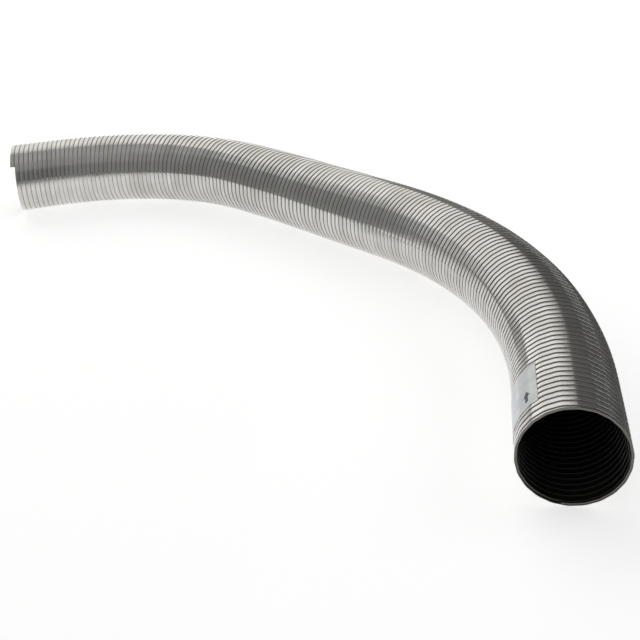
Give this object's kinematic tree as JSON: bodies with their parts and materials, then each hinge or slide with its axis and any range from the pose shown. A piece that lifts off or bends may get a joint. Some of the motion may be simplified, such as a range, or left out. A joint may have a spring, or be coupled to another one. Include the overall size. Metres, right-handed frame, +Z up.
{
  "type": "flexible metal air duct",
  "caption": "Strip-wound flexible round air duct with interlocked, flat-sided metal turns that slide and tilt on each other, lying in a bend, with a plain label near the inlet.",
  "frame": {"origin": "centre of the duct's footprint, on the floor it lies on", "axes": "+Z up, +Y along the longer side of the footprint from the labelled inlet towards the far bend, +X to the right, so that the duct runs away from the inlet and bends left, to -X"},
  "size_m": [0.635, 0.7744, 0.0847],
  "materials": {
    "steel": "satin",
    "label": "satin"
  },
  "bodies": {
    "inlet_end": {"inlet_end": "steel", "label": "label"},
    "section_01": {"section_01": "steel"},
    "section_02": {"section_02": "steel"},
    "section_03": {"section_03": "steel"},
    "section_04": {"section_04": "steel"},
    "section_05": {"section_05": "steel"},
    "section_06": {"section_06": "steel"},
    "section_07": {"section_07": "steel"},
    "section_08": {"section_08": "steel"},
    "section_09": {"section_09": "steel"},
    "section_10": {"section_10": "steel"},
    "section_11": {"section_11": "steel"},
    "section_12": {"section_12": "steel"},
    "section_13": {"section_13": "steel"},
    "section_14": {"section_14": "steel"},
    "section_15": {"section_15": "steel"},
    "section_16": {"section_16": "steel"},
    "section_17": {"section_17": "steel"},
    "section_18": {"section_18": "steel"},
    "section_19": {"section_19": "steel"},
    "section_20": {"section_20": "steel"},
    "section_21": {"section_21": "steel"},
    "section_22": {"section_22": "steel"},
    "section_23": {"section_23": "steel"},
    "section_24": {"section_24": "steel"},
    "section_25": {"section_25": "steel"},
    "section_26": {"section_26": "steel"},
    "section_27": {"section_27": "steel"},
    "section_28": {"section_28": "steel"},
    "section_29": {"section_29": "steel"},
    "section_30": {"section_30": "steel"},
    "section_31": {"section_31": "steel"},
    "section_32": {"section_32": "steel"},
    "section_33": {"section_33": "steel"},
    "section_34": {"section_34": "steel"},
    "section_35": {"section_35": "steel"},
    "section_36": {"section_36": "steel"},
    "section_37": {"section_37": "steel"},
    "section_38": {"section_38": "steel"},
    "section_39": {"section_39": "steel"},
    "section_40": {"section_40": "steel"},
    "section_41": {"section_41": "steel"},
    "section_42": {"section_42": "steel"},
    "section_43": {"section_43": "steel"},
    "section_44": {"section_44": "steel"},
    "section_45": {"section_45": "steel"},
    "section_46": {"section_46": "steel"},
    "outlet_end": {"outlet_end": "steel"}
  },
  "joints": [
    {"name": "bend_01", "type": "hinge", "parent": "inlet_end", "child": "section_01", "pos_m": [0.26756, -0.29215, 0.04236], "axis": [0, 0, 1], "range_deg": [-3.07, 1.65]},
    {"name": "bend_02", "type": "hinge", "parent": "section_01", "child": "section_02", "pos_m": [0.27059, -0.27213, 0.04236], "axis": [0, 0, 1], "range_deg": [-3.07, 1.65]},
    {"name": "bend_03", "type": "hinge", "parent": "section_02", "child": "section_03", "pos_m": [0.27286, -0.25201, 0.04236], "axis": [0, 0, 1], "range_deg": [-3.07, 1.65]},
    {"name": "lift_04", "type": "hinge", "parent": "section_03", "child": "section_04", "pos_m": [0.27439, -0.23182, 0.04236], "axis": [0.9984, -0.0568, 0], "range_deg": [-2.25, 2.25]},
    {"name": "bend_05", "type": "hinge", "parent": "section_04", "child": "section_05", "pos_m": [0.27516, -0.21158, 0.04236], "axis": [0, 0, 1], "range_deg": [-3.07, 1.65]},
    {"name": "stretch_06", "type": "slide", "parent": "section_05", "child": "section_06", "axis": [-0.0174, 0.9998, 0], "range_m": [-0.00122, 0.00122]},
    {"name": "bend_07", "type": "hinge", "parent": "section_06", "child": "section_07", "pos_m": [0.27446, -0.1711, 0.04236], "axis": [0, 0, 1], "range_deg": [-3.07, 1.65]},
    {"name": "lift_08", "type": "hinge", "parent": "section_07", "child": "section_08", "pos_m": [0.27297, -0.15091, 0.04236], "axis": [0.9956, 0.0932, 0], "range_deg": [-2.19, 2.19]},
    {"name": "bend_09", "type": "hinge", "parent": "section_08", "child": "section_09", "pos_m": [0.27062, -0.13079, 0.04236], "axis": [0, 0, 1], "range_deg": [-3.25, 1.47]},
    {"name": "bend_10", "type": "hinge", "parent": "section_09", "child": "section_10", "pos_m": [0.26733, -0.11082, 0.04236], "axis": [0, 0, 1], "range_deg": [-3.25, 1.47]},
    {"name": "bend_11", "type": "hinge", "parent": "section_10", "child": "section_11", "pos_m": [0.26311, -0.09101, 0.04236], "axis": [0, 0, 1], "range_deg": [-3.25, 1.47]},
    {"name": "lift_12", "type": "hinge", "parent": "section_11", "child": "section_12", "pos_m": [0.25798, -0.07142, 0.04236], "axis": [0.9612, 0.2759, 0], "range_deg": [-2.19, 2.19]},
    {"name": "bend_13", "type": "hinge", "parent": "section_12", "child": "section_13", "pos_m": [0.25194, -0.0521, 0.04236], "axis": [0, 0, 1], "range_deg": [-3.25, 1.47]},
    {"name": "bend_14", "type": "hinge", "parent": "section_13", "child": "section_14", "pos_m": [0.24501, -0.03307, 0.04236], "axis": [0, 0, 1], "range_deg": [-3.25, 1.47]},
    {"name": "bend_15", "type": "hinge", "parent": "section_14", "child": "section_15", "pos_m": [0.2372, -0.01439, 0.04236], "axis": [0, 0, 1], "range_deg": [-3.25, 1.47]},
    {"name": "lift_16", "type": "hinge", "parent": "section_15", "child": "section_16", "pos_m": [0.22853, 0.00391, 0.04236], "axis": [0.8935, 0.4491, 0], "range_deg": [-2.19, 2.19]},
    {"name": "bend_17", "type": "hinge", "parent": "section_16", "child": "section_17", "pos_m": [0.21902, 0.02178, 0.04236], "axis": [0, 0, 1], "range_deg": [-3.25, 1.47]},
    {"name": "stretch_18", "type": "slide", "parent": "section_17", "child": "section_18", "axis": [-0.5302, 0.8479, 0], "range_m": [-0.00109, 0.00109]},
    {"name": "bend_19", "type": "hinge", "parent": "section_18", "child": "section_19", "pos_m": [0.19756, 0.05611, 0.04236], "axis": [0, 0, 1], "range_deg": [-3.25, 1.47]},
    {"name": "lift_20", "type": "hinge", "parent": "section_19", "child": "section_20", "pos_m": [0.18565, 0.07249, 0.04236], "axis": [0.7949, 0.6067, 0], "range_deg": [-2.19, 2.19]},
    {"name": "bend_21", "type": "hinge", "parent": "section_20", "child": "section_21", "pos_m": [0.173, 0.08829, 0.04236], "axis": [0, 0, 1], "range_deg": [-3.25, 1.47]},
    {"name": "bend_22", "type": "hinge", "parent": "section_21", "child": "section_22", "pos_m": [0.15963, 0.1035, 0.04236], "axis": [0, 0, 1], "range_deg": [-2.36, 2.36]},
    {"name": "bend_23", "type": "hinge", "parent": "section_22", "child": "section_23", "pos_m": [0.14601, 0.11849, 0.04236], "axis": [0, 0, 1], "range_deg": [-2.36, 2.36]},
    {"name": "lift_24", "type": "hinge", "parent": "section_23", "child": "section_24", "pos_m": [0.1324, 0.13348, 0.04236], "axis": [0.7403, 0.6723, 0], "range_deg": [-2.36, 2.36]},
    {"name": "bend_25", "type": "hinge", "parent": "section_24", "child": "section_25", "pos_m": [0.11879, 0.14847, 0.04236], "axis": [0, 0, 1], "range_deg": [-2.36, 2.36]},
    {"name": "bend_26", "type": "hinge", "parent": "section_25", "child": "section_26", "pos_m": [0.10517, 0.16346, 0.04236], "axis": [0, 0, 1], "range_deg": [-2.36, 2.36]},
    {"name": "bend_27", "type": "hinge", "parent": "section_26", "child": "section_27", "pos_m": [0.09156, 0.17846, 0.04236], "axis": [0, 0, 1], "range_deg": [-2.36, 2.36]},
    {"name": "lift_28", "type": "hinge", "parent": "section_27", "child": "section_28", "pos_m": [0.07794, 0.19345, 0.04236], "axis": [0.7403, 0.6723, 0], "range_deg": [-2.36, 2.36]},
    {"name": "bend_29", "type": "hinge", "parent": "section_28", "child": "section_29", "pos_m": [0.06433, 0.20843, 0.04236], "axis": [0, 0, 1], "range_deg": [-2.69, 2.03]},
    {"name": "stretch_30", "type": "slide", "parent": "section_29", "child": "section_30", "axis": [-0.687, 0.7267, 0], "range_m": [-0.00151, 0.00151]},
    {"name": "bend_31", "type": "hinge", "parent": "section_30", "child": "section_31", "pos_m": [0.03651, 0.23786, 0.04236], "axis": [0, 0, 1], "range_deg": [-2.69, 2.03]},
    {"name": "lift_32", "type": "hinge", "parent": "section_31", "child": "section_32", "pos_m": [0.02222, 0.25222, 0.04236], "axis": [0.7027, 0.7115, 0], "range_deg": [-2.34, 2.34]},
    {"name": "bend_33", "type": "hinge", "parent": "section_32", "child": "section_33", "pos_m": [0.00769, 0.26632, 0.04236], "axis": [0, 0, 1], "range_deg": [-2.69, 2.03]},
    {"name": "bend_34", "type": "hinge", "parent": "section_33", "child": "section_34", "pos_m": [-0.00709, 0.28016, 0.04236], "axis": [0, 0, 1], "range_deg": [-3.92, 0.8]},
    {"name": "bend_35", "type": "hinge", "parent": "section_34", "child": "section_35", "pos_m": [-0.02266, 0.2931, 0.04236], "axis": [0, 0, 1], "range_deg": [-3.92, 0.8]},
    {"name": "lift_36", "type": "hinge", "parent": "section_35", "child": "section_36", "pos_m": [-0.03923, 0.30472, 0.04236], "axis": [0.5403, 0.8415, 0], "range_deg": [-1.77, 1.77]},
    {"name": "bend_37", "type": "hinge", "parent": "section_36", "child": "section_37", "pos_m": [-0.0567, 0.31496, 0.04236], "axis": [0, 0, 1], "range_deg": [-3.92, 0.8]},
    {"name": "bend_38", "type": "hinge", "parent": "section_37", "child": "section_38", "pos_m": [-0.07495, 0.32373, 0.04236], "axis": [0, 0, 1], "range_deg": [-3.92, 0.8]},
    {"name": "bend_39", "type": "hinge", "parent": "section_38", "child": "section_39", "pos_m": [-0.09384, 0.33099, 0.04236], "axis": [0, 0, 1], "range_deg": [-3.92, 0.8]},
    {"name": "lift_40", "type": "hinge", "parent": "section_39", "child": "section_40", "pos_m": [-0.11327, 0.33668, 0.04236], "axis": [0.2418, 0.9703, 0], "range_deg": [-1.77, 1.77]},
    {"name": "bend_41", "type": "hinge", "parent": "section_40", "child": "section_41", "pos_m": [-0.1331, 0.34077, 0.04236], "axis": [0, 0, 1], "range_deg": [-3.61, 1.11]},
    {"name": "stretch_42", "type": "slide", "parent": "section_41", "child": "section_42", "axis": [-0.995, 0.0998, 0], "range_m": [-0.00083, 0.00083]},
    {"name": "bend_43", "type": "hinge", "parent": "section_42", "child": "section_43", "pos_m": [-0.17337, 0.34481, 0.04236], "axis": [0, 0, 1], "range_deg": [-3.61, 1.11]},
    {"name": "lift_44", "type": "hinge", "parent": "section_43", "child": "section_44", "pos_m": [-0.19362, 0.34485, 0.04236], "axis": [-0.0307, 0.9995, 0], "range_deg": [-2, 2]},
    {"name": "bend_45", "type": "hinge", "parent": "section_44", "child": "section_45", "pos_m": [-0.21382, 0.34357, 0.04236], "axis": [0, 0, 1], "range_deg": [-3.61, 1.11]},
    {"name": "bend_46", "type": "hinge", "parent": "section_45", "child": "section_46", "pos_m": [-0.2339, 0.34097, 0.04236], "axis": [0, 0, 1], "range_deg": [-3.61, 1.11]},
    {"name": "bend_47", "type": "hinge", "parent": "section_46", "child": "outlet_end", "pos_m": [-0.25377, 0.33707, 0.04236], "axis": [0, 0, 1], "range_deg": [-3.61, 1.11]}
  ]
}
